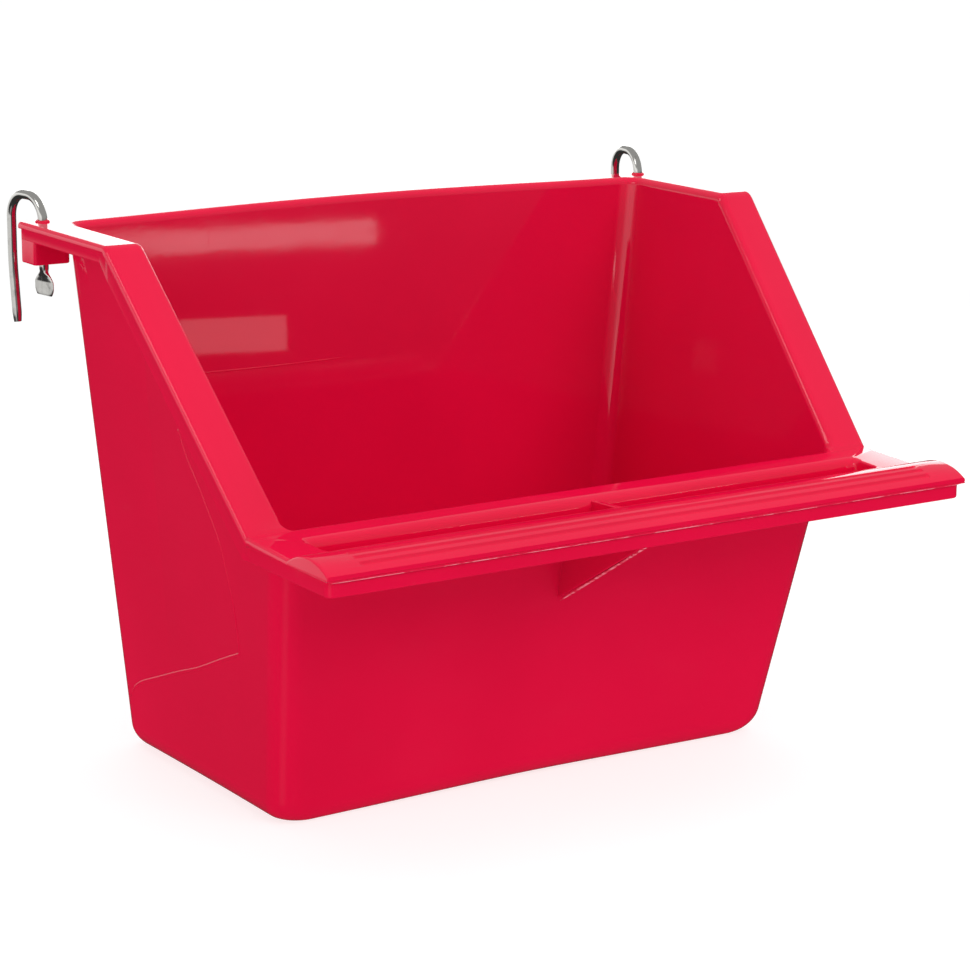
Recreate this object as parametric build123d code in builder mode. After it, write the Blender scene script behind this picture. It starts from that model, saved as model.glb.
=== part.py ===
from build123d import *
import math
import os

# Hanging trough feeder for cage birds and small livestock: one moulding and two wire hooks.
# Millimetres, +Z up, +X to the right seen from the front, -Y to the front.
# The origin is the middle of the flat underside.  Distances in depth are given
# from the back wall's foot and turned into Y by from_back().

# --- driving dimensions: body --------------------------------------------------
rim_height = 163.8             # underside to the top of the rim
base_width = 175.6             # body at the underside
top_width = 209.6              # body at rim height
base_depth = 96.1              # front wall to back wall at the underside
front_lean = 12.6              # degrees the front wall leans forward
back_lean = 0.8                # degrees the back wall leans back
wall = 2.3
corner_radius = 7.75           # upright corners, outside
foot_radius = 7.5              # edge round the underside

# --- driving dimensions: rim, seen from the side --------------------------------
rim_back = 11.0                # rim's rear edge behind the back wall
bend_depth = 48.1              # where the level rim turns down
knee_depth = 116.9             # where the slope meets the lip
knee_height = 93.3
lip_depth = 161.4              # front edge of the lip
lip_droop = 2.2                # degrees the lip falls to the front
bend_radius = 4.0
plate = (2.0, 2.3, 2.5)        # rim thickness: level, sloping, lip
skirt = (5.5, 7.4, 7.0)        # depth of the turned-down edge, same places

# --- driving dimensions: rim, seen from above -----------------------------------
rim_half_top = 115.0           # from the rear corners to the bend
rim_half_knee = 108.3
rim_half_lip = 109.0
rim_corner = 2.0
overhang = 0.9                 # rim plate past its skirt
skirt_wall = 1.9

# --- driving dimensions: lip ------------------------------------------------------
recess_back = 126.4            # rear edge of the long recess behind the bar
recess_front = 138.4
recess_half = 95.5
recess_corner = 3.0
recess_drop = 4.7              # its floor below the lip's knee
recess_wall = 1.8
bar_back = 140.5               # perch bar's rear edge
bar_rise = 3.0                 # bar's crown above its rear edge
groove_depths = (152.3, 155.3, 158.4)
groove_radius = 0.6
groove_half = 97.5
rib = 2.0                      # gusset under the lip
rib_tip_height = 58.5
rib_front_height = 88.5
rib_recess = 1.3               # its top edge below the lip's face in the recess
rib_rise = 10.0                # length over which that edge climbs to the bar

# --- driving dimensions: hook bosses ----------------------------------------------
boss_inner = 102.5             # boss's side nearest the middle
boss_drop = 12.2               # boss's lower face below the rim
boss_front = -0.3              # boss's front face, just behind the back wall's foot
boss_corner = 1.0
stem_x = 108.9
stem_depth = -5.2              # behind the back wall
bore_clearance = 0.08
collar_radius = 2.3
collar_rise = 0.8
bore_mouth = 0.4               # bevel round the top of each bore

# --- driving dimensions: hooks ------------------------------------------------------
wire = 2.8
hook_reach = 16.8              # stem to leg
hook_crown_height = 171.0      # wire's centre line
crown_radius = 7.2
leg_bend_height = 150.0
leg_bend_radius = 90.0
toe_height = 131.8
toe_reach = 15.0
toe_out = 8.6                  # degrees each hook stands turned outward
stem_end_height = 147.2
spade_thickness = 0.5
spade_outline = ((1.2, 149.8), (4.4, 147.2), (4.9, 143.8), (3.9, 141.8))
spade_corner = 1.0

# --- derived -------------------------------------------------------------------------
side_slope = (top_width - base_width) / 2 / rim_height
front_slope = math.tan(math.radians(front_lean))
back_slope = math.tan(math.radians(back_lean))
above = 20.0                   # how far cutting volumes run past the rim


def from_back(depth):
    """Y of a place that lies a given depth in front of the back wall's foot."""
    return base_depth / 2 - depth


lip_height = knee_height - (lip_depth - knee_depth) * math.tan(math.radians(lip_droop))
rear_y = from_back(-rim_back)
front_y = from_back(lip_depth)
rim_line = [
    (rear_y, rim_height),
    (from_back(bend_depth), rim_height),
    (from_back(knee_depth), knee_height),
    (front_y, lip_height),
]
level_line = [*rim_line[:3], (front_y, knee_height)]


def crossing(first, second):
    """Where two lines cross, each given as a point and a direction."""
    (ay, az), (by, bz) = first
    (cy, cz), (dy, dz) = second
    along = ((cy - ay) * dz - (cz - az) * dy) / (by * dz - bz * dy)
    return (ay + along * by, az + along * bz)


def below_rim(depths):
    """The rim's side view, with a level lip, moved down square to each run by its depth."""
    upright = (0, 1)
    lines = [((rear_y, 0), upright)]
    for (ay, az), (by, bz), depth in zip(level_line, level_line[1:], depths):
        length = math.hypot(by - ay, bz - az)
        step_y, step_z = (by - ay) / length, (bz - az) / length
        lines.append(((ay - depth * step_z, az + depth * step_y), (step_y, step_z)))
    lines.append(((front_y, 0), upright))
    return [crossing(one, other) for one, other in zip(lines, lines[1:])]


def side_view(lower_points):
    """Face between the rim line and the given points, its upper bend rounded."""
    with BuildSketch(Plane.YZ) as view:
        with BuildLine():
            Polyline(*rim_line, *reversed(lower_points), close=True)
        make_face()
        bend = Vector(0, *rim_line[1])
        fillet(view.vertices().sort_by_distance(bend)[0], radius=bend_radius)
    return view.sketch


def body_level(height, inset):
    """Horizontal section of the body at a height, moved in by an inset."""
    width = base_width + 2 * side_slope * height - 2 * inset
    rear = from_back(-back_slope * height) - inset
    front = from_back(base_depth + front_slope * height) + inset
    with BuildSketch(Plane.XY.offset(height)) as level:
        with Locations((0, (rear + front) / 2)):
            RectangleRounded(width, rear - front, corner_radius - inset)
    return level.sketch


def body_volume(bottom, inset):
    """The body as a filled volume from a floor height to past the rim."""
    with BuildPart() as volume:
        add(body_level(bottom, inset))
        add(body_level(rim_height + above, inset))
        loft()
        underside = volume.faces().sort_by(Axis.Z)[0]
        fillet(underside.edges(), radius=foot_radius - inset)
    return volume.part


# --- rim, seen from above ---------------------------------------------------------------
plan_half = [
    (rim_half_top, rear_y),
    (rim_half_top, from_back(bend_depth)),
    (rim_half_knee, from_back(knee_depth)),
    (rim_half_lip, front_y),
]
with BuildSketch() as rim_plan:
    with BuildLine():
        Polyline(*plan_half, *((-x, y) for x, y in reversed(plan_half)), close=True)
    make_face()
    fillet(rim_plan.vertices().group_by(Axis.Y)[-1], radius=rim_corner)

with BuildSketch() as skirt_plan:
    add(rim_plan.sketch)
    offset(amount=-overhang)
    offset(amount=-skirt_wall, mode=Mode.SUBTRACT)

# --- rim plate and the skirt turned down behind its edge ----------------------------------
with BuildPart() as rim_plate:
    extrude(side_view(below_rim(plate)), amount=rim_half_top, both=True)
    extrude(rim_plan.sketch, amount=rim_height + above, mode=Mode.INTERSECT)

with BuildPart() as rim_skirt:
    extrude(side_view(below_rim(skirt)), amount=rim_half_top, both=True)
    extrude(skirt_plan.sketch, amount=rim_height + above, mode=Mode.INTERSECT)

# --- trough: one moulding -------------------------------------------------------------------
boss_outer = rim_half_top - overhang
boss_width = boss_outer - boss_inner
boss_rear = -rim_back + overhang
lip_under = knee_height - plate[2]
bar_foot = lip_height + (lip_depth - bar_back) * math.tan(math.radians(lip_droop))
bar_half = (lip_depth - bar_back) / 2
bar_middle = bar_back + bar_half
bar_radius = (bar_half**2 + bar_rise**2) / (2 * bar_rise)
bar_centre_height = bar_foot + bar_rise - bar_radius
bore_radius = wire / 2 + bore_clearance
front_half = base_width / 2 + side_slope * knee_height - corner_radius

with BuildPart() as trough:
    add(body_volume(0, 0))

    # walls end at the rim's level, sloping and lip lines
    sky = rim_height + 2 * above
    with BuildSketch(Plane.YZ) as over_rim:
        with BuildLine():
            Polyline(*rim_line, (front_y, sky), (rear_y, sky), close=True)
        make_face()
        bend = Vector(0, *rim_line[1])
        fillet(over_rim.vertices().sort_by_distance(bend)[0], radius=bend_radius)
    extrude(amount=rim_half_top, both=True, mode=Mode.SUBTRACT)
    add(rim_plate.part)
    add(rim_skirt.part)

    # boss for a hook under each rear corner of the rim
    with BuildSketch(Plane.XY.offset(rim_height - boss_drop)) as boss_plan:
        boss_depth = boss_front - boss_rear
        boss_middle = (boss_outer + boss_inner) / 2
        with Locations(*((side * boss_middle, from_back(boss_front - boss_depth / 2)) for side in (-1, 1))):
            RectangleRounded(boss_width, boss_depth, boss_corner)
    extrude(amount=boss_drop - plate[0] / 2)

    # long recess behind the perch bar: its shell, then its hollow
    recess_floor = knee_height - recess_drop
    for level, grow, mode in ((recess_floor - recess_wall, recess_wall, Mode.ADD),
                              (recess_floor, 0, Mode.SUBTRACT)):
        with BuildSketch(Plane.XY.offset(level)) as recess_plan:
            with Locations((0, from_back((recess_back + recess_front) / 2))):
                RectangleRounded(2 * (recess_half + grow), recess_front - recess_back + 2 * grow,
                                 recess_corner + grow)
        extrude(amount=(lip_under if grow else rim_height) - level, mode=mode)

    # the front wall ends level with the lip
    with BuildSketch(Plane.XY.offset(knee_height)) as front_edge:
        with Locations((0, from_back(knee_depth))):
            Rectangle(2 * front_half, 2 * corner_radius)
    extrude(amount=corner_radius, mode=Mode.SUBTRACT)

    # domed perch bar along the lip's front edge, with grip grooves
    with BuildSketch(Plane.YZ) as bar_section:
        with BuildLine():
            crown = (from_back(bar_middle), bar_foot + bar_rise)
            ThreePointArc((from_back(bar_back), bar_foot), crown, (front_y, bar_foot))
            Polyline((front_y, bar_foot), (front_y, lip_under), (from_back(bar_back), lip_under),
                     (from_back(bar_back), bar_foot))
        make_face()
    extrude(amount=rim_half_lip, both=True)
    with BuildSketch(Plane.YZ) as grooves:
        for depth in groove_depths:
            drop = math.sqrt(bar_radius**2 - (depth - bar_middle) ** 2)
            with Locations((from_back(depth), bar_centre_height + drop)):
                Circle(groove_radius)
    extrude(amount=groove_half, both=True, mode=Mode.SUBTRACT)

    # gusset from the front wall to the skirt; its top edge crosses the recess
    with BuildSketch(Plane.YZ) as rib_side:
        with BuildLine():
            rib_front = from_back(lip_depth - overhang - skirt_wall / 2)
            rib_root = from_back(base_depth + front_slope * rib_tip_height - wall / 2)
            top_rear = knee_height - rib_recess
            Polyline(
                (rib_root, rib_tip_height),
                (rib_front, rib_front_height),
                (rib_front, lip_under),
                (from_back(recess_front), bar_foot),
                (from_back(recess_front - rib_rise), top_rear),
                (from_back(recess_back), top_rear),
                (rib_root, lip_under),
                close=True,
            )
        make_face()
    extrude(amount=rib / 2, both=True)

    # the hollow
    add(body_volume(wall, wall), mode=Mode.SUBTRACT)

    # collars and bores for the hook stems
    stem_places = [(side * stem_x, from_back(stem_depth)) for side in (-1, 1)]
    with BuildSketch(Plane.XY.offset(rim_height)) as collars:
        with Locations(*stem_places):
            Circle(collar_radius)
    extrude(amount=collar_rise)
    with BuildSketch(Plane.XY.offset(rim_height - boss_drop)) as bores:
        with Locations(*stem_places):
            Circle(bore_radius)
    extrude(amount=boss_drop + collar_rise, mode=Mode.SUBTRACT)
    mouths = trough.edges().filter_by(GeomType.CIRCLE).group_by(Axis.Z)[-1]
    chamfer(mouths.sort_by(SortBy.RADIUS)[:2], length=bore_mouth)

trough.part.label = "trough"


# --- hooks: bent wire, its lower end flattened to a spade ---------------------------------------
def wire_hook(side):
    """Hook on the given side, -1 left or +1 right, turned outward by the toe-out."""
    turn = math.radians(toe_out)
    reach = Vector(side * math.sin(turn), math.cos(turn), 0)
    face = Plane(
        origin=(side * stem_x, from_back(stem_depth), 0),
        x_dir=reach,
        z_dir=reach.cross(Vector(0, 0, 1)),
    )
    with BuildPart() as hook:
        with BuildLine(face) as route:
            FilletPolyline(
                (0, stem_end_height),
                (0, hook_crown_height),
                (hook_reach, hook_crown_height),
                (hook_reach, leg_bend_height),
                (toe_reach, toe_height),
                radius=(crown_radius, crown_radius, leg_bend_radius),
            )
        with BuildSketch(Plane(origin=route.line @ 0, z_dir=route.line % 0)):
            Circle(wire / 2)
        sweep()
        with BuildSketch(face) as spade:
            with BuildLine():
                mirrored = [(-reach_out, z) for reach_out, z in reversed(spade_outline)]
                Polyline(*spade_outline, *mirrored, close=True)
            make_face()
            rounded = spade.vertices().sort_by(Axis.Z)[:-2]
            fillet(rounded, radius=spade_corner)
        extrude(amount=spade_thickness / 2, both=True)
    return hook.part


os.makedirs("parts", exist_ok=True)
export_step(trough.part, "parts/trough.step")
for name, side in (("left_hook", -1), ("right_hook", 1)):
    hook = wire_hook(side)
    hook.label = name
    export_step(hook, f"parts/{name}.step")
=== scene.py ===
"""Looks of a hanging trough feeder: one glossy red moulding and two bright wire hooks.

Lengths are millimetres until they go into a mesh, in the CAD's frame: +X right, +Y to
the rear, +Z up, the origin in the middle of the underside.  The moulding is a closed
surface worked out as columns round the trough, each column a rounded section.
"""

import math

import bmesh
import bpy
import numpy as np
from mathutils import Matrix, Vector


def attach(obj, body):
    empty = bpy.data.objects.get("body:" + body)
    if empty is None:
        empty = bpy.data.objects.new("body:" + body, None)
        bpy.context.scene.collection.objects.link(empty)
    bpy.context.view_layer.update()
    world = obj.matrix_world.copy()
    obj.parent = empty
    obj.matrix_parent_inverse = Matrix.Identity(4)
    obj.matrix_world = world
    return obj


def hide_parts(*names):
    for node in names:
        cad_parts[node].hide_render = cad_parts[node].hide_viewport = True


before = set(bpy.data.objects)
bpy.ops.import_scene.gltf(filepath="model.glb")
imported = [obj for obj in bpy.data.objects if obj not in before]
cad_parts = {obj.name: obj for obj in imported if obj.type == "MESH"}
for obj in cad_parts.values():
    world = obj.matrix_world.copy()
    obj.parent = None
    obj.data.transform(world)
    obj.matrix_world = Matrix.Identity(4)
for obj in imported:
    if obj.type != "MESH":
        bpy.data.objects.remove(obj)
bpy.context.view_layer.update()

MM = 0.001
OTHER_SIDE = np.array([-1.0, 1.0, 1.0])

# --- trough: body -----------------------------------------------------------------------------
BASE_WIDTH = 175.6
BASE_DEPTH = 96.1
SIDE_SLOPE = 0.1038            # half-width gained per unit of height
FRONT_SLOPE = math.tan(math.radians(12.6))
BACK_SLOPE = math.tan(math.radians(0.8))
WALL = 2.3
CORNER = 7.75
INNER_FRONT_CORNER = 2.4        # upright corners of the hollow at the front
FOOT = 7.5

# --- trough: rim ------------------------------------------------------------------------------
RIM_Z = 163.8
REAR_Y = BASE_DEPTH / 2 + 11.0
BEND_Y = BASE_DEPTH / 2 - 48.1
KNEE_Y = BASE_DEPTH / 2 - 116.9
KNEE_Z = 93.3
FRONT_Y = BASE_DEPTH / 2 - 161.4
LIP_FALL = math.tan(math.radians(2.2))
BEND_BLEND = 1.5
BOW = 1.3                      # rise of the rear rim's middle
BOW_HALF = 97.0
RIM_HALF_TOP = 115.0
RIM_HALF_KNEE = 108.3
RIM_HALF_LIP = 109.0
RIM_CORNER = 2.0
CORNER_START = 103.0           # x where the rear's columns start to turn round the corner
OVERHANG = 0.9
SKIRT_WALL = 1.9
PLATE = (2.0, 2.3, 2.6)
SKIRT = (5.5, 7.4, 7.1)
TOP_EDGE = 1.3

# --- lip --------------------------------------------------------------------------------------
LIP_UNDER = KNEE_Z - PLATE[2]
SKIRT_FOOT = KNEE_Z - SKIRT[2]
RECESS_BACK = BASE_DEPTH / 2 - 126.4
RECESS_FRONT = BASE_DEPTH / 2 - 138.4
RECESS_HALF = 95.5
RECESS_CORNER = 3.0
RECESS_FLOOR = KNEE_Z - 4.7
RECESS_WALL = 1.8
RECESS_EDGE = 0.8
RECESS_REAR_EDGE = 3.4
BAR_BACK = BASE_DEPTH / 2 - 140.5
BAR_RISE = 3.0
GROOVES = tuple(BASE_DEPTH / 2 - depth for depth in (152.3, 155.3, 158.4))
GROOVE_RADIUS = 0.75
GROOVE_HALF = 97.5
RIB_HALF = 1.0
RIB_TIP_Z = 58.5
RIB_FRONT_Z = 88.5
RIB_SINK = 1.3                 # its top edge below the lip where it crosses the recess
RIB_RISE = 10.0

# --- hooks ------------------------------------------------------------------------------------
WIRE = 1.4                     # radius
REACH = 16.8
CROWN_Z = 171.0
CROWN_RADIUS = 7.2
LEG_BEND_Z = 150.0
LEG_BEND_RADIUS = 90.0
TOE_Z = 131.8
TOE_REACH = 15.0
TOE_OUT = 8.6
STEM_END = 149.8               # round wire starts to flatten here
SPADE = ((149.8, 1.4, 1.4), (148.9, 1.6, 1.05), (147.6, 3.3, 0.5), (146.0, 4.8, 0.3),
         (143.6, 4.85, 0.25), (142.3, 4.2, 0.24), (141.8, 3.7, 0.22))
STEM_X = 108.9
STEM_Y = BASE_DEPTH / 2 + 5.2
BORE = 1.48
COLLAR_RADIUS = 2.1
COLLAR_RISE = 0.6
BOSS_Z = RIM_Z - 12.2
BOSS_INNER = 102.5
BOSS_FRONT = BASE_DEPTH / 2 + 0.3
BOSS_CORNER = 1.0
FLUSH_GAP = 0.06               # keeps flush faces of two pieces from lying in one plane


# ==== shapes ==================================================================================
def unit(vectors):
    """Vectors divided by their lengths; a vector of no length stays zero."""
    length = np.linalg.norm(vectors, axis=-1, keepdims=True)
    return np.divide(vectors, length, out=np.zeros_like(vectors), where=length > 1e-9)


def rounded_section(corners):
    """Columns of points along a polyline whose corners are rounded.

    Each corner is (points, before, after, steps).  Its curve runs from `before` along
    the line back to the last corner to `after` along the line on to the next, as
    C + before*u*(1 - sin t) + after*v*(1 - cos t), t from 0 to a quarter turn.
    Returns the grid (columns, points, 3) and each corner's first and last index.
    """
    count = len(corners[0][0])
    grid, spans, total = [], [], 0
    for i, (point, before, after, steps) in enumerate(corners):
        if steps == 0 or i in (0, len(corners) - 1):
            curve = point[:, None, :]
        else:
            back = corners[i - 1][0] - point
            onward = corners[i + 1][0] - point
            before = np.minimum(np.broadcast_to(before, count), np.linalg.norm(back, axis=1))
            after = np.minimum(np.broadcast_to(after, count), np.linalg.norm(onward, axis=1))
            turn = np.linspace(0, math.pi / 2, steps + 1)[None, :, None]
            curve = (point[:, None, :]
                     + (unit(back) * before[:, None])[:, None, :] * (1 - np.sin(turn))
                     + (unit(onward) * after[:, None])[:, None, :] * (1 - np.cos(turn)))
        spans.append((total, total + curve.shape[1] - 1))
        total += curve.shape[1]
        grid.append(curve)
    return np.concatenate(grid, axis=1), spans


def link_object(name, data):
    """A new object in the scene, at the origin."""
    obj = bpy.data.objects.new(name, data)
    bpy.context.scene.collection.objects.link(obj)
    return obj


def grid_faces(rows, cols, wrap_rows=False, wrap_cols=False):
    """Quads between neighbours of a grid of points numbered row by row."""
    r = np.arange(rows if wrap_rows else rows - 1)
    c = np.arange(cols if wrap_cols else cols - 1)
    r, c = np.meshgrid(r, c, indexing="ij")
    right, down = (c + 1) % cols, (r + 1) % rows
    return np.stack([r * cols + c, r * cols + right, down * cols + right, down * cols + c], -1)


def piece(name, points, faces, body="trough", smooth=35.0, caps=()):
    """A closed mesh from points in millimetres: doubles merged, faces turned outwards."""
    mesh = bpy.data.meshes.new(name)
    quads = [tuple(q) for q in np.asarray(faces).reshape(-1, 4).tolist()]
    places = (np.asarray(points).reshape(-1, 3) * MM).tolist()
    mesh.from_pydata(places, [], quads + [tuple(c) for c in caps])
    work = bmesh.new()
    work.from_mesh(mesh)
    bmesh.ops.remove_doubles(work, verts=work.verts, dist=2e-6)
    bmesh.ops.dissolve_degenerate(work, dist=1e-6, edges=work.edges)
    bmesh.ops.recalc_face_normals(work, faces=work.faces)
    work.to_mesh(mesh)
    work.free()
    mesh.shade_smooth()
    mesh.set_sharp_from_angle(angle=math.radians(smooth))
    obj = link_object(name, mesh)
    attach(obj, body)
    return obj


def grid_piece(name, grid, wrap_rows, wrap_cols, capped=False, **more):
    """A piece whose surface is one grid of points; its first and last rows may be capped."""
    rows, cols = grid.shape[:2]
    ends = [range(cols), range((rows - 1) * cols, rows * cols)] if capped else []
    return piece(name, grid, grid_faces(rows, cols, wrap_rows, wrap_cols), caps=ends, **more)


def mirrored(half):
    """A half loop of columns, middle of the rear to middle of the front, made whole."""
    other = half[-2:0:-1] * OTHER_SIDE
    return np.concatenate([half, other], axis=0)


# ==== the trough's walls ======================================================================
REAR, REAR_CORNER, SIDE, FRONT_CORNER, FRONT = range(5)


def wall_plan(seg, t, z, inset):
    """Plan of the wall, a rounded rectangle that grows with height.

    seg and t place each column on a side or corner; z is its height.  Returns x, y and
    the outward direction.
    """
    half = BASE_WIDTH / 2 + SIDE_SLOPE * z - inset
    rear = BASE_DEPTH / 2 + BACK_SLOPE * z - inset
    front = -BASE_DEPTH / 2 - FRONT_SLOPE * z + inset
    r = CORNER - inset
    rf = INNER_FRONT_CORNER if inset else CORNER
    turn = t * math.pi / 2
    on = [seg == k for k in range(5)]
    x = np.select(on, [t * (half - r), half - r + r * np.sin(turn), half,
                       half - rf + rf * np.cos(turn), (1 - t) * (half - rf)])
    y = np.select(on, [rear, rear - r + r * np.cos(turn), rear - r + t * (front + rf - rear + r),
                       front + rf - rf * np.sin(turn), front])
    nx = np.select(on, [0 * t, np.sin(turn), 1 + 0 * t, np.cos(turn), 0 * t])
    ny = np.select(on, [1 + 0 * t, np.cos(turn), 0 * t, -np.sin(turn), -1 + 0 * t])
    return x, y, nx, ny


SLOPE = (RIM_Z - KNEE_Z) / (BEND_Y - KNEE_Y)


def rim_height(y):
    """Rim seen from the side: level, a soft bend, the slope, and the lip's fall."""
    slope = KNEE_Z + (y - KNEE_Y) * SLOPE
    near = np.maximum(BEND_BLEND - np.abs(RIM_Z - slope), 0) / BEND_BLEND
    upper = np.minimum(RIM_Z, slope) - near**2 * BEND_BLEND / 4
    return np.maximum(upper, KNEE_Z + (y - KNEE_Y) * LIP_FALL)


def under_rim(y, depths):
    """The rim's line lowered square to its level, sloping and lip runs by three depths."""
    slope = KNEE_Z + (y - KNEE_Y) * SLOPE - depths[1] * math.sqrt(1 + SLOPE**2)
    return np.maximum(np.minimum(RIM_Z - depths[0], slope), KNEE_Z - depths[2])


def rim_half_width(y):
    """Half the rim's width: steady to the bend, narrowing to the knee, then slightly wider."""
    return np.interp(y, [FRONT_Y, KNEE_Y, BEND_Y, REAR_Y],
                     [RIM_HALF_LIP, RIM_HALF_KNEE, RIM_HALF_TOP, RIM_HALF_TOP])


def settle(height_of, seg, t, inset, outward, start):
    """Height at which each column of the wall, moved outward, meets a height given by y and x."""
    z = np.full(len(t), start)
    for _ in range(25):
        x, y, nx, ny = wall_plan(seg, t, z, inset)
        z = height_of(y + outward * ny, x)
    return z


def bowed(seg, x):
    """Rise of the rear rim's middle, a parabola that ends short of the corners."""
    return np.where(seg == REAR, BOW * np.maximum(0, 1 - (x / BOW_HALF) ** 2) ** 1.5, 0)


def trough_columns():
    """Places of the half loop's columns: side or corner, how far along it, and the rim's width."""
    inner_front = -BASE_DEPTH / 2 - FRONT_SLOPE * KNEE_Z + WALL
    edge = inner_front - KNEE_Y
    coarse, fine_at_bend = np.linspace(42, -62, 53), np.linspace(-4, 7, 28)
    stations = np.unique(np.round(np.concatenate([coarse, fine_at_bend]), 3))[::-1]
    z = rim_height(stations)
    rear = BASE_DEPTH / 2 + BACK_SLOPE * z - CORNER
    front = -BASE_DEPTH / 2 - FRONT_SLOPE * z + WALL + INNER_FRONT_CORNER
    along = (rear - stations) / (rear - front)
    parts = [(REAR, np.linspace(0, 1, 33)), (REAR_CORNER, np.linspace(0, 1, 19)[1:]),
             (SIDE, along[(along > 0.003) & (along < 0.997)]),
             (FRONT_CORNER, np.linspace(0, 1, 19)), (FRONT, np.linspace(0, 1, 25))]
    seg = np.concatenate([np.full(len(t), s) for s, t in parts])
    return seg, np.concatenate([t for _, t in parts]), edge


def rim_outline(seg, t, edge_x, edge_y):
    """Where each column's section reaches the rim's outer edge, and the outward direction."""
    arc_x = RIM_HALF_TOP - RIM_CORNER
    arc_y = REAR_Y - RIM_CORNER
    corner_end = edge_y[seg == REAR_CORNER][-1]
    part = t * 3
    turn = np.clip(part - 1, 0, 1) * math.pi / 2
    corner_x = np.where(part < 1, CORNER_START + (arc_x - CORNER_START) * part,
                        arc_x + RIM_CORNER * np.sin(turn))
    corner_y = np.where(part > 2, arc_y + (corner_end - arc_y) * (part - 2),
                        arc_y + RIM_CORNER * np.cos(turn))
    x = np.select([seg == REAR, seg == REAR_CORNER, seg == FRONT],
                  [t * CORNER_START, corner_x, edge_x], rim_half_width(edge_y))
    y = np.select([seg == REAR, seg == REAR_CORNER], [REAR_Y + 0 * t, corner_y], edge_y)
    nx = np.select([seg == REAR, seg == REAR_CORNER, seg == FRONT],
                   [0 * t, np.sin(turn), 0 * t], 1.0)
    ny = np.select([seg == REAR, seg == REAR_CORNER], [1 + 0 * t, np.cos(turn)], 0.0)
    return x, y, nx, ny


def build_shell():
    """Body and rim in one closed surface.

    Each column's section runs from the middle of the floor up the inner wall, over the
    rounded inner edge and the flat rim, down the rim's edge and skirt, back under the rim
    to the outer wall, and down round the foot to the middle of the underside.  Columns on
    the front stop at the knee, where the lip is butted on.
    """
    seg, t, edge = trough_columns()
    top = settle(lambda y, x: rim_height(y) + bowed(seg, x), seg, t, WALL, edge, 120.0)
    x, y, nx, ny = wall_plan(seg, t, top, WALL)
    inner = np.stack([x, y, top], 1)
    flat = np.stack([x + edge * nx, y + edge * ny, top], 1)
    ox, oy, onx, ony = rim_outline(seg, t, flat[:, 0], flat[:, 1])
    rise = bowed(seg, x)
    front = seg == FRONT
    oz = np.where(front, KNEE_Z, rim_height(oy) + rise)

    def rim_point(inset, depths=None):
        z = oz if depths is None else np.where(front, LIP_UNDER, under_rim(oy, depths) + rise)
        return np.stack([ox - inset * onx * ~front, oy - inset * ony * ~front, z], 1)

    under = settle(lambda y, x: np.where(front, LIP_UNDER, under_rim(y, PLATE) + bowed(seg, x)),
                   seg, t, 0.0, 0.0, 120.0)
    wx, wy, _, _ = wall_plan(seg, t, under, 0.0)
    floor_x, floor_y, _, _ = wall_plan(seg, t, np.full(len(t), WALL), WALL)
    foot_x, foot_y, _, _ = wall_plan(seg, t, np.zeros(len(t)), 0.0)
    ones = np.ones(len(t))
    steep = np.where((seg >= SIDE) & (y < BEND_Y), 1 + 0.43 * np.abs(nx), 1.0)
    corners = [
        (np.stack([0 * ones, 0 * ones, WALL * ones], 1), 0, 0, 0),
        (np.stack([floor_x, floor_y, WALL * ones], 1), FOOT - WALL, FOOT - WALL, 9),
        (inner, edge * steep, edge, 10),
        (flat, 0, 0, 0),
        (rim_point(0), TOP_EDGE, TOP_EDGE, 6),
        (rim_point(0, PLATE), 0.3, 0.3, 3),
        (rim_point(OVERHANG, PLATE), 0.15, 0.15, 2),
        (rim_point(OVERHANG, SKIRT), 0.45, 0.45, 4),
        (rim_point(OVERHANG + SKIRT_WALL, SKIRT), 0.45, 0.45, 4),
        (rim_point(OVERHANG + SKIRT_WALL, PLATE), 0.4, 0.4, 3),
        (np.stack([wx, wy, under], 1), 0.8, 0.8, 4),
        (np.stack([foot_x, foot_y, 0 * ones], 1), FOOT, FOOT, 12),
        (np.stack([0 * ones, 0 * ones, 0 * ones], 1), 0, 0, 0),
    ]
    half, spans = rounded_section(corners)
    grid = mirrored(half)
    rows, cols = grid.shape[:2]
    faces = grid_faces(rows, cols, wrap_rows=True)

    # the skirted section at each knee is closed by a face, not by quads to the lip's columns
    last = np.flatnonzero(seg == FRONT_CORNER)[-1]
    first, end = spans[3][0], spans[10][1]
    caps = []
    keep = np.ones(faces.shape[:2], bool)
    for row, other in ((last, last + 1), (rows - last, rows - last - 1)):
        keep[min(row, other), first:end] = False
        loop = [row * cols + j for j in range(first, end + 1)]
        loop += [other * cols + j for j in range(end - 1, first, -1)]
        caps.append(loop)
    return piece("trough_shell", grid, faces[keep], caps=caps)


shell = build_shell()
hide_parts("trough")


# ==== lip =====================================================================================
def lip_height(y):
    """Upper face of the lip, falling gently to the front."""
    return KNEE_Z + (y - KNEE_Y) * LIP_FALL


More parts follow.
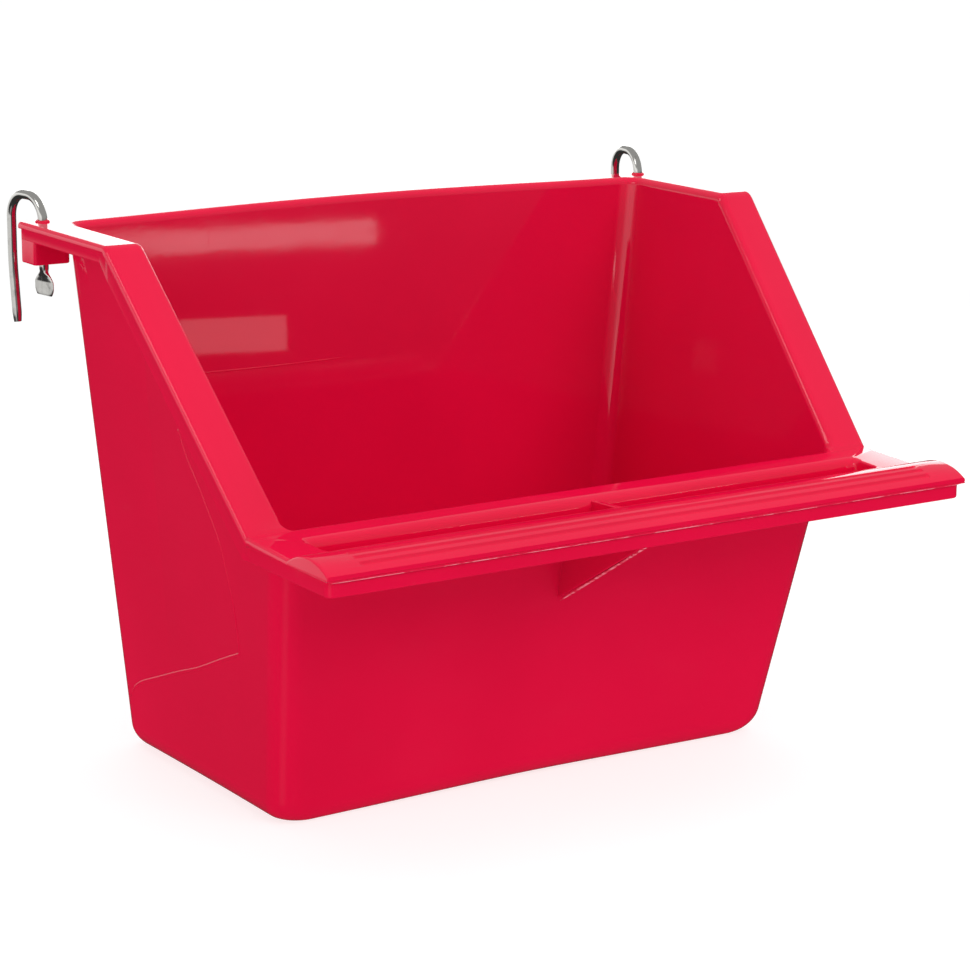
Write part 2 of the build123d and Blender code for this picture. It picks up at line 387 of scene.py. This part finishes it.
def recess_loop(steps):
    """Half the recess's outline, from the middle of its rear to that of its front, and normals."""
    straight = RECESS_HALF - RECESS_CORNER
    side = RECESS_BACK - RECESS_FRONT - 2 * RECESS_CORNER
    turn = np.linspace(0, math.pi / 2, 9)
    rear_x = np.linspace(0, straight, steps)[:-1]
    flat = 0 * rear_x
    x = np.concatenate([rear_x, straight + RECESS_CORNER * np.sin(turn), np.full(3, RECESS_HALF),
                        straight + RECESS_CORNER * np.cos(turn), rear_x[::-1]])
    y = np.concatenate([flat + RECESS_BACK, RECESS_BACK - RECESS_CORNER * (1 - np.cos(turn)),
                        RECESS_BACK - RECESS_CORNER - side * np.array([0.25, 0.5, 0.75]),
                        RECESS_FRONT + RECESS_CORNER * (1 - np.sin(turn)), flat + RECESS_FRONT])
    nx = np.concatenate([flat, np.sin(turn), np.ones(3), np.cos(turn), flat])
    ny = np.concatenate([flat + 1, np.cos(turn), np.zeros(3), -np.sin(turn), flat - 1])
    return x, y, nx, ny, len(rear_x)


def ring(*coordinates):
    """Points from their coordinates; a single number is shared by all of them."""
    return np.stack(np.broadcast_arrays(*coordinates), 1)


def build_lip_plate():
    """Plate of the lip with its recess's walls: columns from the recess out to the plate's edge.

    The outer ends run along the knee, round the sides and along the front.  Only the side
    and front edges are rounded, because the plate is butted on the rim at the knee.
    """
    x, y, nx, ny, straight = recess_loop(28)
    count = len(x)
    knee_end = straight + 4
    side_end = count - straight - 5
    corner_x = 101.0
    before = np.linspace(0, corner_x, straight + 1)[:-1]
    beyond = np.linspace(corner_x, RIM_HALF_KNEE, knee_end - straight + 1)
    knee_x = np.concatenate([before, beyond])
    side_y = np.linspace(KNEE_Y, FRONT_Y, side_end - knee_end + 1)[1:]
    front_x = np.linspace(RIM_HALF_LIP, 0, count - side_end)[1:]
    ox = np.concatenate([knee_x, rim_half_width(side_y), front_x])
    oy = np.concatenate([0 * knee_x + KNEE_Y, side_y, 0 * front_x + FRONT_Y])
    free = np.arange(count) > knee_end
    edge = np.where(free, TOP_EDGE, 0)
    arris = np.where(free, 0.3, 0)
    foot = RECESS_FLOOR - RECESS_WALL
    edge_in = RECESS_EDGE + (RECESS_REAR_EDGE - RECESS_EDGE) * np.clip(ny, 0, 1)
    wall_x, wall_y = x + RECESS_WALL * nx, y + RECESS_WALL * ny
    corners = [
        (ring(x, y, foot), 0, 0, 0),
        (ring(x, y, lip_height(y)), edge_in, edge_in, 9),
        (ring(ox, oy, lip_height(oy)), edge, edge, 6),
        (ring(ox, oy, LIP_UNDER), arris, arris, 3),
        (ring(wall_x, wall_y, LIP_UNDER), 0.5, 0.5, 3),
        (ring(wall_x, wall_y, foot), 0.4, 0.4, 3),
        (ring(x, y, foot), 0, 0, 0),
    ]
    half, _ = rounded_section(corners)
    return grid_piece("lip_plate", mirrored(half[:, :-1]), True, True)


def build_recess_floor():
    """Floor of the recess: a slab with a little dish to it, its edge inside the recess's walls."""
    x, y, nx, ny, _ = recess_loop(28)
    foot = RECESS_FLOOR - RECESS_WALL
    grow = RECESS_WALL / 3
    wide, deep = x + grow * nx, y + grow * ny
    mid = (RECESS_BACK + RECESS_FRONT) / 2
    corners = [
        (ring(x, mid, RECESS_FLOOR), 0, 0, 0),
        (ring(x, y, RECESS_FLOOR), 0, 0, 0),
        (ring(wide, deep, RECESS_FLOOR + 0.3), 0, 0, 0),
        (ring(wide, deep, foot + 0.1), 0, 0, 0),
        (ring(x, mid, foot + 0.1), 0, 0, 0),
    ]
    half, _ = rounded_section(corners)
    return grid_piece("recess_floor", mirrored(half), True, False)


def build_lip_skirt():
    """Skirt under the lip's sides and front: a rounded strip carried from knee to knee."""
    inset = OVERHANG
    corner = 2.5
    side = np.linspace(KNEE_Y, FRONT_Y + inset + corner, 20)
    turn = np.linspace(0, math.pi / 2, 9)[1:]
    front_half = RIM_HALF_LIP - inset
    front = np.linspace(front_half - corner, 0, 24)[1:]
    x = np.concatenate([rim_half_width(side) - inset, front_half - corner * (1 - np.cos(turn)),
                        front])
    y = np.concatenate([side, FRONT_Y + inset + corner * (1 - np.sin(turn)),
                        0 * front + FRONT_Y + inset])
    nx = np.concatenate([0 * side + 1, np.cos(turn), 0 * front])
    ny = np.concatenate([0 * side, -np.sin(turn), 0 * front - 1])

    def line(depth, z):
        return np.stack([x - depth * nx, y - depth * ny, z + 0 * x], 1)

    top = LIP_UNDER + 0.4
    corners = [
        (line(0, top), 0, 0, 0),
        (line(0, SKIRT_FOOT), 0.5, 0.5, 4),
        (line(SKIRT_WALL, SKIRT_FOOT), 0.5, 0.5, 4),
        (line(SKIRT_WALL, top), 0, 0, 0),
    ]
    half, _ = rounded_section(corners)
    grid = np.concatenate([half, half[-2::-1] * OTHER_SIDE])
    return grid_piece("lip_skirt", grid, False, True, capped=True)


def bar_dome(y):
    """Height of the perch bar's crown across its depth: a shallow circular arc."""
    half = (BAR_BACK - FRONT_Y) / 2
    radius = (half**2 + BAR_RISE**2) / (2 * BAR_RISE)
    foot = lip_height(BAR_BACK)
    away = y - (BAR_BACK + FRONT_Y) / 2
    return foot + BAR_RISE - radius + np.sqrt(np.maximum(radius**2 - away**2, 0))


def build_perch_bar():
    """Perch bar: its domed, grooved section carried across the lip, its ends rounded over."""
    top_y = np.linspace(BAR_BACK, FRONT_Y, 121)
    dome = bar_dome(top_y)
    groove = sum(np.sqrt(np.maximum(GROOVE_RADIUS**2 - (top_y - middle) ** 2, 0))
                 for middle in GROOVES)
    low_y = np.array([FRONT_Y, FRONT_Y, BAR_BACK])
    low_z = np.array([bar_dome(FRONT_Y) - 0.8, LIP_UNDER + 0.5, LIP_UNDER + 0.5])
    y = np.concatenate([top_y, low_y])
    ease = 0.8
    turn = np.linspace(0, math.pi / 2, 6)
    end_x = RIM_HALF_LIP - ease * (1 - np.sin(turn))
    drop = ease * (1 - np.cos(turn))
    fade, plain_x = 1.2, 103.0
    groove_end = GROOVE_HALF - np.array([fade, fade / 2, fade / 6, 0.0])
    x = np.concatenate([np.linspace(0, GROOVE_HALF - 2, 20), groove_end, [plain_x], end_x])
    drop = np.concatenate([np.zeros(len(x) - len(drop)), drop])
    depth = np.sqrt(np.clip((GROOVE_HALF - x) / fade, 0, 1))
    top = dome[None] - depth[:, None] * groove[None] - drop[:, None]
    z = np.concatenate([top, np.broadcast_to(low_z, (len(x), 3))], 1)
    half = np.stack(np.broadcast_arrays(x[:, None], y[None], z), -1)
    whole = np.concatenate([half[:0:-1] * OTHER_SIDE, half])
    return grid_piece("perch_bar", whole, False, True, capped=True)


def build_gusset():
    """Thin rib from the front wall to the lip's skirt: an extruded outline with eased edges."""
    rib_front = FRONT_Y + OVERHANG + SKIRT_WALL / 2
    rib_root = -BASE_DEPTH / 2 - FRONT_SLOPE * RIB_TIP_Z + WALL / 2
    sunk = KNEE_Z - RIB_SINK
    lean = 7.0                 # of the front wall, between the rib's tip and the lip
    outline = np.array([
        (rib_root, RIB_TIP_Z), (rib_front, RIB_FRONT_Z), (rib_front, LIP_UNDER),
        (RECESS_FRONT, lip_height(RECESS_FRONT)), (RECESS_FRONT + RIB_RISE, sunk),
        (RECESS_BACK, sunk), (rib_root - lean, LIP_UNDER)])
    sides = np.array([-RIB_HALF, RIB_HALF])
    points = np.broadcast_arrays(sides[:, None], outline[None, :, 0], outline[None, :, 1])
    obj = grid_piece("lip_gusset", np.stack(points, -1), False, True, capped=True)
    ease = obj.modifiers.new("eased edges", "BEVEL")
    ease.width, ease.segments, ease.limit_method = 0.35 * MM, 3, "ANGLE"
    return obj


def build_boss(name, side):
    """Hook boss: a rounded block under the rim's rear corner, bored for the hook's stem.

    Columns run round the bore, each from the bore out to a rounded rectangle and back.
    """
    outer = RIM_HALF_TOP - OVERHANG - FLUSH_GAP
    rear = REAR_Y - OVERHANG - FLUSH_GAP
    middle = np.array([outer + BOSS_INNER, rear + BOSS_FRONT]) / 2
    reach = np.array([outer - BOSS_INNER, rear - BOSS_FRONT]) / 2 - BOSS_CORNER
    signs = np.array([[1, 1], [-1, 1], [-1, -1], [1, -1]])
    turn = np.arange(4)[:, None] * math.pi / 2 + np.linspace(0, math.pi / 2, 9)
    round_off = BOSS_CORNER * np.stack([np.cos(turn), np.sin(turn)], -1)
    arcs = (middle + signs * reach)[:, None] + round_off
    onward = np.roll(arcs[:, 0], -1, axis=0)[:, None] - arcs[:, -1:]
    runs = arcs[:, -1:] + onward * np.linspace(0, 1, 12)[1:-1, None]
    px, py = np.concatenate([arcs, runs], 1).reshape(-1, 2).T
    to = np.arctan2(py - STEM_Y, px - STEM_X)
    bx, by = STEM_X + BORE * np.cos(to), STEM_Y + BORE * np.sin(to)
    top = RIM_Z - PLATE[0] / 2
    corners = [
        (ring(bx, by, top), 0, 0, 0),
        (ring(bx, by, BOSS_Z), 0.25, 0.25, 3),
        (ring(px, py, BOSS_Z), 0.5, 0.5, 4),
        (ring(px, py, top), 0, 0, 0),
    ]
    grid, _ = rounded_section(corners)
    return grid_piece(name, grid * np.array([side, 1.0, 1.0]), True, True)


def build_collar(name, side):
    """Raised collar round the top of the bore: a small turned ring with rounded edges."""
    turn = np.linspace(0, 2 * math.pi, 49)[:-1]
    rag = 1 + 0.05 * np.sin(3 * turn + 1.0) + 0.04 * np.sin(7 * turn)
    cos, sin = np.cos(turn), np.sin(turn)
    out = COLLAR_RADIUS * rag
    low, top = RIM_Z - 0.5, RIM_Z + COLLAR_RISE * (1 + 0.1 * np.sin(2 * turn))
    corners = [
        (ring(STEM_X + BORE * cos, STEM_Y + BORE * sin, low), 0, 0, 0),
        (ring(STEM_X + BORE * cos, STEM_Y + BORE * sin, top), 0.4, 0.3, 4),
        (ring(STEM_X + out * cos, STEM_Y + out * sin, top), 0.4, 0.5, 4),
        (ring(STEM_X + out * cos, STEM_Y + out * sin, low), 0, 0, 0),
    ]
    grid, _ = rounded_section(corners)
    return grid_piece(name, grid * np.array([side, 1.0, 1.0]), True, True)


# ==== marks left by the mould =================================================================
def eased_run(points, steps, rounds):
    """Evenly spaced points along a polyline, each averaged with its neighbours a few times."""
    points = np.array(points, float)
    travel = np.concatenate([[0], np.cumsum(np.linalg.norm(np.diff(points, axis=0), axis=1))])
    at = np.linspace(0, travel[-1], steps)
    run = np.stack([np.interp(at, travel, column) for column in points.T], 1)
    for _ in range(rounds):
        run[1:-1] = (run[:-2] + 2 * run[1:-1] + run[2:]) / 4
    return run


def bead(name, line, face, width, height):
    """Low ridge along a line on a face: an ellipse with its centre on the line, so that its lower
    half is buried, of a given width, raised by the height, and tapered at its ends."""
    along = unit(np.gradient(line, axis=0))
    across = unit(np.cross(along, face))
    turn = np.linspace(0, 2 * math.pi, 17)[:-1]
    from_end = np.minimum(np.arange(len(line)), np.arange(len(line))[::-1])
    taper = np.sqrt(np.clip(from_end / 8, 0.05, 1))
    wide = (np.broadcast_to(width, len(line)) * taper)[:, None, None]
    high = (np.broadcast_to(height, len(line)) * taper)[:, None, None]
    grid = (line[:, None] + wide / 2 * np.cos(turn)[None, :, None] * across[:, None]
            + high * np.sin(turn)[None, :, None] * face)
    return grid_piece(name, grid, False, True, capped=True, smooth=180)


def build_flow_line():
    """Faint S-shaped ridge on the outside of the left wall, with one sharp turn."""
    upper = eased_run([(-13, 112), (-16, 104), (-21, 98.5), (-26, 90.5), (-31, 83),
                       (-33.5, 73.5), (-35.5, 65), (-36.2, 56), (-36, 50)], 90, 30)
    lower = eased_run([(-36, 50), (-32, 48.5), (-23, 44.8), (-8, 38.4), (4.5, 34.2),
                       (20, 28.3), (33, 23.5), (39, 20), (40.4, 17)], 90, 30)
    y, z = np.concatenate([upper, lower[1:]]).T
    line = np.stack([-(BASE_WIDTH / 2 + SIDE_SLOPE * z), y, z], 1)
    face = unit(np.array([-1.0, 0.0, -SIDE_SLOPE]))
    return bead("flow_line", line, face, 1.1, 0.14)


def build_wall_crease():
    """Faint level ridge on the inside of the back wall, left of the middle."""
    height = 114.2
    x = np.linspace(-64, -8, 80)
    line = ring(x, BASE_DEPTH / 2 + BACK_SLOPE * height - WALL, height + 0.4 * np.sin(x / 20))
    return bead("wall_crease", line, unit(np.array([0.0, -1.0, BACK_SLOPE])), 0.5, 0.07)


def build_parting_flash():
    """Ragged flash along the lower arris of the lip's front edge; its size is a sum of sines."""
    x = np.linspace(-107.5, 107.5, 700)
    slow = np.sin(0.31 * x) + np.sin(0.83 * x + 1.0)
    quick = 0.8 * np.sin(1.9 * x + 2.0) + 0.6 * np.sin(4.3 * x)
    rag = (slow + quick) / 3.4
    size = 0.17 + 0.11 * rag
    line = ring(x, FRONT_Y + 0.32, LIP_UNDER - 0.12 + 0.1 * rag)
    return bead("parting_flash", line, np.array([0.0, -0.9, -0.43]), 2.8 * size, size)


def build_rib_flash():
    """Thin ridge down the middle of the gusset's lower edge, a straight run; its pale colour is a
    painted highlight.
    """
    start = (0, -BASE_DEPTH / 2 - FRONT_SLOPE * RIB_TIP_Z - 0.5, RIB_TIP_Z)
    end = (0, FRONT_Y + OVERHANG + SKIRT_WALL / 2 + 2.5, RIB_FRONT_Z - 1.4)
    line = eased_run([start, end], 60, 0)
    face = unit(np.array([0.0, line[0, 2] - line[-1, 2], line[-1, 1] - line[0, 1]]))
    return bead("rib_flash", line, face, 1.3, 0.25)


# ==== hooks ===================================================================================
def bend(first, corner, last, radius, steps):
    """Arc of a given radius that rounds the corner between two straight runs, in a plane."""
    first, corner, last = (np.array(p, float) for p in (first, corner, last))
    back = (first - corner) / np.linalg.norm(first - corner)
    onward = (last - corner) / np.linalg.norm(last - corner)
    half = math.acos(float(np.clip(back @ onward, -1, 1))) / 2
    centre = corner + (back + onward) / np.linalg.norm(back + onward) * radius / math.sin(half)
    reach = radius / math.tan(half)
    start, end = corner + back * reach - centre, corner + onward * reach - centre
    sweep = math.atan2(start[0] * end[1] - start[1] * end[0], start @ end)
    turn = np.linspace(0, sweep, steps)
    cos, sin = np.cos(turn), np.sin(turn)
    return centre + np.stack([cos * start[0] - sin * start[1], sin * start[0] + cos * start[1]], 1)


SPADE_ROWS = 40


def hook_route():
    """The hook's centre line in its own plane: away from the stem, and height."""
    stem, crown_a, crown_b = (0, SPADE[-1][0]), (0, CROWN_Z), (REACH, CROWN_Z)
    leg, toe = (REACH, LEG_BEND_Z), (TOE_REACH, TOE_Z)
    spade = ring(0, np.linspace(SPADE[-1][0], STEM_END, SPADE_ROWS))
    stem_run = ring(0, np.linspace(STEM_END, CROWN_Z - CROWN_RADIUS, 14)[1:-1])
    first = bend(stem, crown_a, crown_b, CROWN_RADIUS, 24)
    second = bend(crown_a, crown_b, leg, CROWN_RADIUS, 24)
    third = bend(crown_b, leg, toe, LEG_BEND_RADIUS, 10)
    down = np.linspace(second[-1], third[0], 8)[1:-1]
    tail = np.linspace(third[-1], np.array(toe, float), 12)[1:]
    return np.concatenate([spade, stem_run, first, second, down, third, tail])


def build_hook(name, side):
    """Wire hook: a round section carried along its route, flattened to a spade at the stem's foot.

    The section is a superellipse.  Its half-width lies in the hook's plane and its half-
    thickness across it; both come from the spade's stations and are the wire's radius above.
    """
    route = hook_route()
    along = unit(np.gradient(route, axis=0))
    normal = np.stack([along[:, 1], -along[:, 0]], 1)
    stations = np.array(SPADE[::-1])
    low = np.arange(len(route)) < SPADE_ROWS
    wide = np.where(low, np.interp(route[:, 1], stations[:, 0], stations[:, 1]), WIRE)
    thick = np.where(low, np.interp(route[:, 1], stations[:, 0], stations[:, 2]), WIRE)
    for _ in range(3):
        wide[1:-1] = np.where(low[1:-1], (wide[:-2] + 2 * wide[1:-1] + wide[2:]) / 4, wide[1:-1])
    square = np.clip((wide - WIRE) / 3, 0, 1)
    power = 1 / (1 + square)
    turn = np.linspace(0, 2 * math.pi, 33)[:-1]
    cos, sin = np.cos(turn)[None], np.sin(turn)[None]
    across = np.sign(cos) * np.abs(cos) ** power[:, None] * wide[:, None]
    through = np.sign(sin) * np.abs(sin) ** power[:, None] * thick[:, None]
    toe = np.clip((np.arange(len(route)) - len(route) + 3) / 2, 0, 1)
    shrink = (1 - 0.18 * toe)[:, None]
    out = route[:, None, 0] + across * shrink * normal[:, None, 0]
    z = route[:, None, 1] + across * shrink * normal[:, None, 1]
    angle = math.radians(TOE_OUT)
    reach = np.array([side * math.sin(angle), math.cos(angle)])
    face = np.array([reach[1], -reach[0]])
    x = side * STEM_X + out * reach[0] + through * shrink * face[0]
    y = STEM_Y + out * reach[1] + through * shrink * face[1]
    grid = np.stack([x, y, z], -1)
    obj = grid_piece(name + "_wire", grid, False, True, capped=True, body=name, smooth=50)
    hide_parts(name)
    return obj


moulding = [shell, build_lip_plate(), build_recess_floor(), build_lip_skirt(), build_perch_bar(),
            build_gusset(), build_flow_line(), build_wall_crease()]
flashes = [build_parting_flash(), build_rib_flash()]
hooks = []
for side_name, side in (("left", -1), ("right", 1)):
    moulding.append(build_boss(side_name + "_boss", side))
    moulding.append(build_collar(side_name + "_collar", side))
    hooks.append(build_hook(side_name + "_hook", side))


# ==== camera ==================================================================================
def look_from(position, azimuth, pitch, roll):
    """Turn of a camera that looks along an azimuth from +Y, pitched down and rolled, in degrees."""
    az, pt, rl = (math.radians(a) for a in (azimuth, pitch, roll))
    ahead = np.array([-math.sin(az) * math.cos(pt), math.cos(az) * math.cos(pt), -math.sin(pt)])
    right = np.array([math.cos(az), math.sin(az), 0.0])
    up = np.cross(right, ahead)
    side = math.cos(rl) * right + math.sin(rl) * up
    top = -math.sin(rl) * right + math.cos(rl) * up
    turn = Matrix(np.stack([side, top, -ahead], 1).tolist()).to_4x4()
    turn.translation = [MM * v for v in position]
    return turn


camera_data = bpy.data.cameras.new("camera")
camera_data.sensor_fit = "HORIZONTAL"
camera_data.sensor_width = 36.0
camera_data.lens = 111.92
camera_data.clip_start = 0.01
camera = link_object("camera", camera_data)
camera_place = (-485.6, -810.1 + BASE_DEPTH / 2, 293.0)
camera.matrix_world = look_from(camera_place, azimuth=-33.229, pitch=13.218, roll=0.368)
bpy.context.scene.camera = camera


# ==== materials ===============================================================================
class Value:
    """A shader socket that can be used in arithmetic; each operation adds a Math node."""

    def __init__(self, paint, socket):
        self.paint, self.socket = paint, socket

    def __add__(self, other):
        return self.paint.math("ADD", self, other)

    def __radd__(self, other):
        return self.paint.math("ADD", other, self)

    def __sub__(self, other):
        return self.paint.math("SUBTRACT", self, other)

    def __rsub__(self, other):
        return self.paint.math("SUBTRACT", other, self)

    def __mul__(self, other):
        return self.paint.math("MULTIPLY", self, other)

    def __rmul__(self, other):
        return self.paint.math("MULTIPLY", other, self)

    def between(self, low, high, to_low=0.0, to_high=1.0):
        """Smooth step from to_low at low to to_high at high."""
        return self.paint.node("ShaderNodeMapRange", {"interpolation_type": "SMOOTHSTEP"},
                               self, low, high, to_low, to_high)


class Paint:
    """Node tree of one material or world, and the few ways in which nodes are added to it."""

    def __init__(self, owner):
        owner.use_nodes = True
        self.tree = owner.node_tree

    def node(self, kind, settings, *values, out=0, **named):
        """Adds a node: its settings first, then values or links, by order or by name."""
        made = self.tree.nodes.new(kind)
        for key, value in settings.items():
            setattr(made, key, value)
        by_name = [(key.replace("_", " "), value) for key, value in named.items()]
        for key, value in [*enumerate(values), *by_name]:
            self.feed(made.inputs[key], value)
        return Value(self, made.outputs[out])

    def feed(self, socket, value):
        """Links a Value to a socket, or sets anything else on it."""
        if isinstance(value, Value):
            self.tree.links.new(value.socket, socket)
        else:
            socket.default_value = value

    def math(self, operation, *values):
        return self.node("ShaderNodeMath", {"operation": operation}, *values)

    def place(self, scale=(1, 1, 1), turn=(0, 0, 0)):
        """Object coordinates through a Mapping node."""
        coordinates = self.node("ShaderNodeTexCoord", {}, out="Object")
        return self.node("ShaderNodeMapping", {}, Vector=coordinates, Rotation=turn, Scale=scale)

    def noise(self, fineness, detail=2.0, rough=0.5, **where):
        """Noise over the piece, stretched or turned as place() says."""
        return self.node("ShaderNodeTexNoise", {}, Vector=self.place(**where), Scale=fineness,
                         Detail=detail, Roughness=rough)

    def mix(self, amount, one, other):
        """Colour between one and other."""
        made = self.tree.nodes.new("ShaderNodeMix")
        made.data_type = "RGBA"
        for index, value in ((0, amount), (6, one), (7, other)):
            self.feed(made.inputs[index], value)
        return Value(self, made.outputs[2])

    def surface(self, constants, **varying):
        """Sets the Principled shader: plain values on its sockets, links for what varies."""
        shader = self.tree.nodes["Principled BSDF"]
        for key, value in constants.items():
            shader.inputs[key].default_value = value
        for key, value in varying.items():
            self.tree.links.new(value.socket, shader.inputs[key.replace("_", " ")])


def red_plastic():
    """Glossy moulded plastic: crimson, with faint flow clouds, rub marks and a fine skin."""
    material = bpy.data.materials.new("red_plastic")
    paint = Paint(material)
    cloud = paint.noise(9.0, 3.0, 0.55).between(0.3, 0.7)
    colour = paint.mix(cloud, (0.66, 0.0030, 0.040, 1), (0.72, 0.0036, 0.046, 1))
    rub = paint.noise(34.0, 5.0, 0.62, scale=(1, 1, 2.2)).between(0.45, 0.8)
    streaks = paint.noise(60.0, 4.0, 0.7, scale=(14, 1.0, 1.2), turn=(0.3, 0.2, 0.5))
    hair = streaks.between(0.62, 0.72)
    roughness = 0.05 + 0.05 * rub + 0.08 * hair
    skin = paint.noise(420.0, 2.0, 0.5)
    swell = paint.noise(16.0, 2.0, 0.5)
    height = skin * 0.04 + swell * 0.9 + hair * 0.03
    bump = paint.node("ShaderNodeBump", {}, Strength=0.25, Distance=0.0004, Height=height)
    paint.surface({"IOR": 1.49}, Base_Color=colour, Roughness=roughness, Normal=bump)
    return material


def flash_painted_highlight():
    """Thin flash: the same plastic with a pale pink painted highlight, patched by noise."""
    material = bpy.data.materials.new("flash_painted_highlight")
    paint = Paint(material)
    # pale pink painted highlight on the flash ridges, in noise patches
    highlight_patches = paint.noise(160.0, 3.0, 0.6, scale=(1, 4, 4)).between(0.40, 0.62)
    colour = paint.mix(highlight_patches, (0.75, 0.02, 0.07, 1), (0.88, 0.26, 0.34, 1))
    grain = paint.noise(900.0, 2.0, 0.5)
    bump = paint.node("ShaderNodeBump", {}, Strength=0.3, Distance=0.0001, Height=grain)
    paint.surface({"IOR": 1.49}, Base_Color=colour, Roughness=0.2 + 0.2 * highlight_patches, Normal=bump)
    return material


def bright_wire():
    """Plated wire: bright metal with fine drawing lines along its length."""
    material = bpy.data.materials.new("bright_wire")
    paint = Paint(material)
    lines = paint.noise(900.0, 2.0, 0.6, scale=(1, 1, 0.02)).between(0.35, 0.7)
    spots = paint.noise(300.0, 3.0, 0.6).between(0.5, 0.8)
    colour = paint.mix(spots, (0.66, 0.65, 0.62, 1), (0.44, 0.43, 0.41, 1))
    roughness = 0.08 + 0.10 * lines + 0.10 * spots
    bump = paint.node("ShaderNodeBump", {}, Strength=0.2, Distance=0.00005, Height=lines)
    paint.surface({"Metallic": 1.0}, Base_Color=colour, Roughness=roughness, Normal=bump)
    return material


plastic, flash_highlight_paint, metal = red_plastic(), flash_painted_highlight(), bright_wire()
for obj in moulding:
    obj.data.materials.append(plastic)
# the flash ridges take the pale painted highlight colour
for obj in flashes:
    obj.data.materials.append(flash_highlight_paint)
for obj in hooks:
    obj.data.materials.append(metal)
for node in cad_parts.values():
    node.data.materials.clear()
    node.data.materials.append(metal if "hook" in node.name else plastic)


# ==== studio ==================================================================================
def stage_surface(name, points, faces, **constants):
    """A surface of the studio with one plain material."""
    mesh = bpy.data.meshes.new(name)
    mesh.from_pydata(points.reshape(-1, 3).tolist(), [], faces)
    material = bpy.data.materials.new(name)
    Paint(material).surface({key.replace("_", " "): value for key, value in constants.items()})
    mesh.materials.append(material)
    return link_object(name, mesh)


def build_floor(radius):
    """Round pale floor just under the trough: rings of points, closed in the middle by one face."""
    spokes, rings = 96, 12
    turn, out = np.meshgrid(np.linspace(0, 2 * math.pi, spokes + 1)[:-1],
                            np.linspace(0.0005, radius, rings), indexing="ij")
    points = np.stack([out * np.cos(turn), out * np.sin(turn), np.full_like(out, -0.0002)], -1)
    middle = [i * rings for i in range(spokes)]
    faces = grid_faces(spokes, rings, True).reshape(-1, 4).tolist() + [middle]
    obj = stage_surface("floor", points, faces, Base_Color=(0.32, 0.32, 0.32, 1), Roughness=0.8,
                        Specular_IOR_Level=0.1, Emission_Color=(1, 1, 1, 1),
                        Emission_Strength=0.76)
    obj.visible_glossy = False


def build_backdrop(radius):
    """Pale ball round the whole studio, which only the camera sees: radius times a direction."""
    spokes, rows = 65, 25
    turn, lift = np.meshgrid(np.linspace(0, 2 * math.pi, spokes),
                             np.linspace(-math.pi / 2, math.pi / 2, rows), indexing="ij")
    points = radius * np.stack([np.cos(turn) * np.cos(lift), np.sin(turn) * np.cos(lift),
                                np.sin(lift)], -1)
    faces = grid_faces(spokes, rows).reshape(-1, 4).tolist()
    obj = stage_surface("backdrop", points, faces, Base_Color=(0, 0, 0, 1),
                        Emission_Color=(1, 1, 1, 1), Emission_Strength=1.0)
    obj.visible_diffuse = obj.visible_glossy = False
    obj.visible_transmission = obj.visible_shadow = False


build_floor(0.8)
build_backdrop(7.0)


def softbox(name, position, target, width, height, radiance):
    """Area light that faces a target; its power gives the same radiance at any size."""
    data = bpy.data.lights.new(name, "AREA")
    data.shape, data.size, data.size_y = "RECTANGLE", width, height
    data.energy = radiance * math.pi * width * height
    light = link_object(name, data)
    light.location = position
    aim = Vector(target) - Vector(position)
    light.rotation_euler = aim.to_track_quat("-Z", "Y").to_euler()
    light.visible_camera = False
    return light


# soft light that no surface mirrors
for fill in (softbox("top light", (0.2, 0.1, 1.5), (0, 0, 0.05), 1.8, 1.8, 1.55),
             softbox("left light", (-1.5, -0.3, 0.7), (0, 0, 0.08), 1.2, 1.0, 1.45),
             softbox("front light", (0.15, -1.4, 1.15), (0, 0, 0.08), 1.4, 1.0, 3.2)):
    fill.visible_glossy = False
# small boxes and strips that are only seen mirrored
for glint in (softbox("rear light", (0.8, 1.25, 0.38), (0, 0, 0.12), 1.3, 0.5, 1.9),
              softbox("side glint", (-1.1, -0.15, 1.0), (0, 0, 0.12), 0.5, 0.5, 2.5),
              softbox("lip card", (0.118, -0.266, 0.135), (-0.041, 0.05, 0.160), 0.125, 0.010, 2.6),
              softbox("inner card", (-0.008, -0.029, 0.117), (-0.049, 0.05, 0.1285), 0.036, 0.012, 1.3)):
    glint.visible_diffuse = False

# the room: dim below the horizon, a pale band at the rear left and one soft spot at the front left
world = bpy.data.worlds.new("studio")
bpy.context.scene.world = world
studio = Paint(world)
direction = studio.node("ShaderNodeTexCoord", {}, out="Generated")
x, y, z = (studio.node("ShaderNodeSeparateXYZ", {}, direction, out=axis) for axis in "XYZ")
lift = z.between(-0.12, 0.12, 0.04, 0.40)
rear_left = (0.6 * y - 0.8 * x).between(-0.15, 0.35)
band = z.between(-0.27, -0.17) * z.between(0.15, 0.32, 1.0, 0.0) * rear_left
bounce = (-0.73 * x - 0.46 * y - 0.5 * z).between(0.90, 1.0)
glow = lift + 0.8 * band + 0.3 * bounce
background = studio.tree.nodes["Background"]
background.inputs["Color"].default_value = (1, 1, 1, 1)
studio.tree.links.new(glow.socket, background.inputs["Strength"])
bpy.context.scene.view_settings.view_transform = "Standard"
